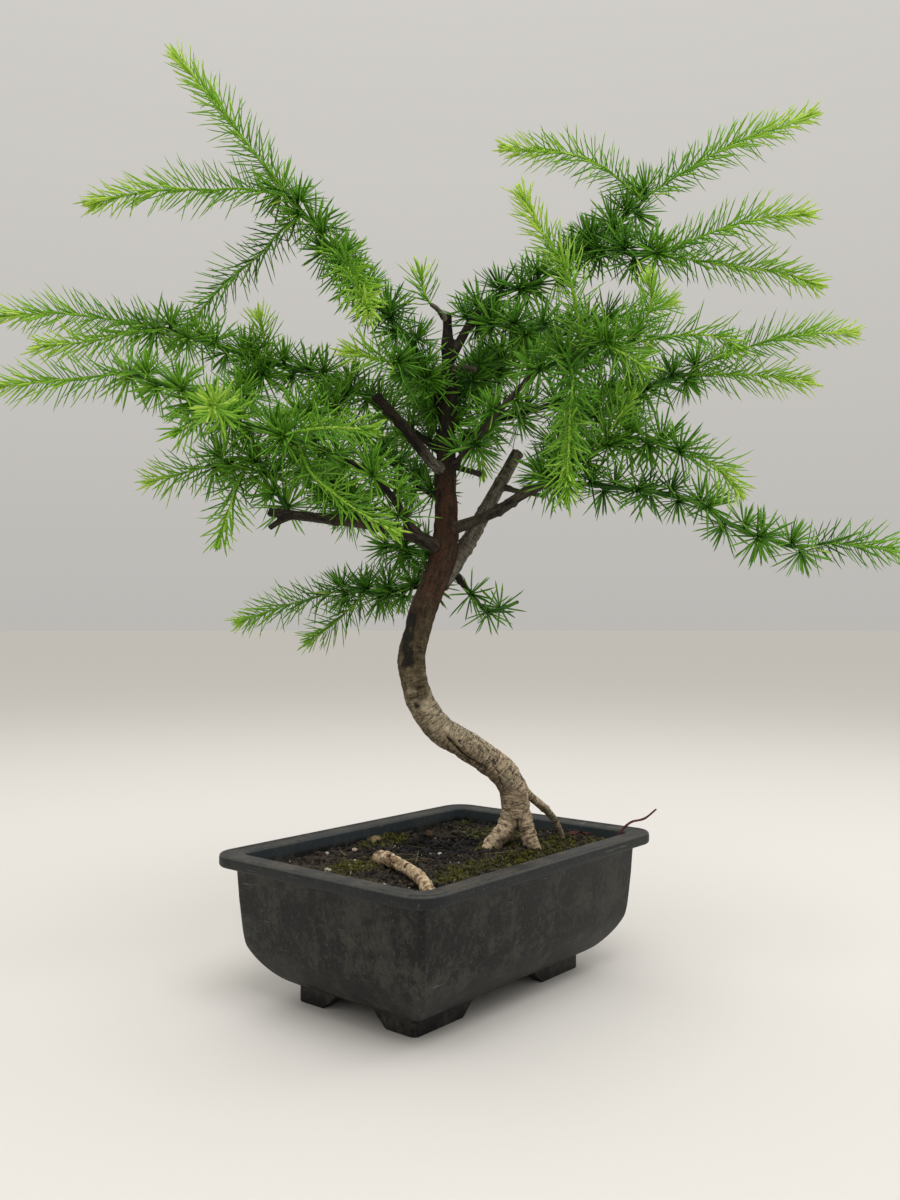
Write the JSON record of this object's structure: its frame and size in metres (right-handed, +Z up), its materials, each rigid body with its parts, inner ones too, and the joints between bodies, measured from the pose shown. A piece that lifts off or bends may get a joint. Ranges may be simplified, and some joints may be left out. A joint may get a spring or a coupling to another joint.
{
  "type": "larch bonsai in a pot",
  "caption": "Larch bonsai with an S-bent trunk, cut limb stubs, spurred twigs and soft green shoots, planted in a rectangular footed plastic pot.",
  "frame": {"origin": "under the middle of the whole object's bounding box, at the height the pot's feet stand on", "axes": "+Z up along the tree's height, +X along the pot's long side, +Y along its short side"},
  "size_m": [0.4286, 0.442, 0.5803],
  "materials": {
    "pot_plastic": "moulded charcoal plastic, dusty with brown and green mottling, smoother at the rim",
    "soil": "rough damp potting soil of peat and bark crumbs with moss patches",
    "bark": "fissured scaly bark, tan at the foot and near black higher up",
    "bare_root": "weathered bare root, light tan",
    "dry_twig": "dry dark red-brown twig",
    "old_needles": "waxy dark green needles on grey-brown twigs",
    "new_needles": "soft yellow-green needles on straw-coloured shoots"
  },
  "bodies": {
    "root": {"dry_twig": "dry_twig", "pot": "pot_plastic", "shoot_back_left_away_tip": "new_needles", "shoot_back_left_tip": "new_needles", "shoot_back_right_away_tip": "new_needles", "shoot_centre_left_tip": "new_needles", "shoot_centre_right_tip": "new_needles", "shoot_hub_hang": "new_needles", "shoot_hub_tip": "new_needles", "shoot_hub_tuft": "new_needles", "shoot_hub_up": "new_needles", "shoot_left_high_side": "new_needles", "shoot_left_high_tip": "new_needles", "shoot_left_low_down": "new_needles", "shoot_left_low_tip": "new_needles", "shoot_left_mid_down": "new_needles", "shoot_left_mid_front": "new_needles", "shoot_left_mid_right": "new_needles", "shoot_left_mid_tip": "new_needles", "shoot_long_right_tip": "new_needles", "shoot_low_left_side": "new_needles", "shoot_low_left_tip": "new_needles", "shoot_right_back_low": "new_needles", "shoot_right_back_tip": "new_needles", "shoot_right_lower_tip": "new_needles", "shoot_right_upper_low": "new_needles", "shoot_right_upper_tip": "new_needles", "shoot_top_tuft": "new_needles", "shoot_upper_left_down": "new_needles", "shoot_upper_left_front": "new_needles", "shoot_upper_left_side": "new_needles", "shoot_upper_left_tip": "new_needles", "shoot_upper_right_side": "new_needles", "shoot_upper_right_tip": "new_needles", "soil": "soil", "spray_back_left": "old_needles", "spray_back_left_away": "old_needles", "spray_back_right_away": "old_needles", "spray_centre_left": "old_needles", "spray_centre_right": "old_needles", "spray_front": "old_needles", "spray_hub": "old_needles", "spray_left_high": "old_needles", "spray_left_inner": "old_needles", "spray_left_low": "old_needles", "spray_left_mid": "old_needles", "spray_long_right": "old_needles", "spray_low_back": "old_needles", "spray_low_left": "old_needles", "spray_low_right": "old_needles", "spray_right_back": "old_needles", "spray_right_inner": "old_needles", "spray_right_lower": "old_needles", "spray_right_upper": "old_needles", "spray_upper_left": "old_needles", "spray_upper_right": "old_needles", "surface_root": "bare_root", "wood": "bark"}
  },
  "joints": []
}
